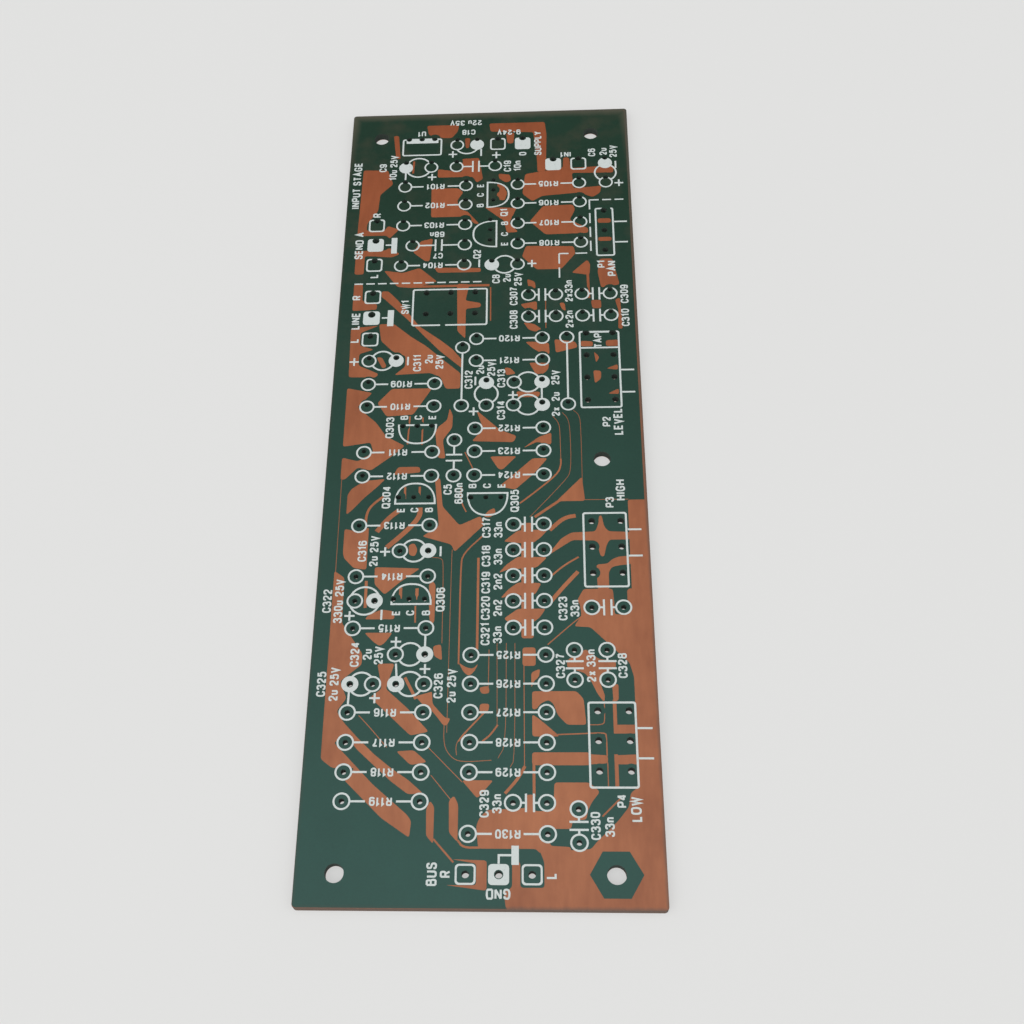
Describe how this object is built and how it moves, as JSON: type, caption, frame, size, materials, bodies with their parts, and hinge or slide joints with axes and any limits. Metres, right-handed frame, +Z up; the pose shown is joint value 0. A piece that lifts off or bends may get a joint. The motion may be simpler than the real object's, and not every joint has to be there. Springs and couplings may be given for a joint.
{
  "type": "bare printed circuit board",
  "caption": "Long bare single-sided circuit board of brown laminate, with green track print and white legend, drilled for leads, control tags and corner screws.",
  "frame": {"origin": "middle of the board's outline, on the lower face of its copper foil", "axes": "+X across the board towards the edge with the controls, +Y along it to the far end, +Z up through its thickness to the printed side"},
  "size_m": [0.057, 0.164, 0.0017],
  "materials": {
    "board": "dark green track print over brown paper laminate, satin"
  },
  "bodies": {
    "root": {"circuit_board": "board"}
  },
  "joints": []
}
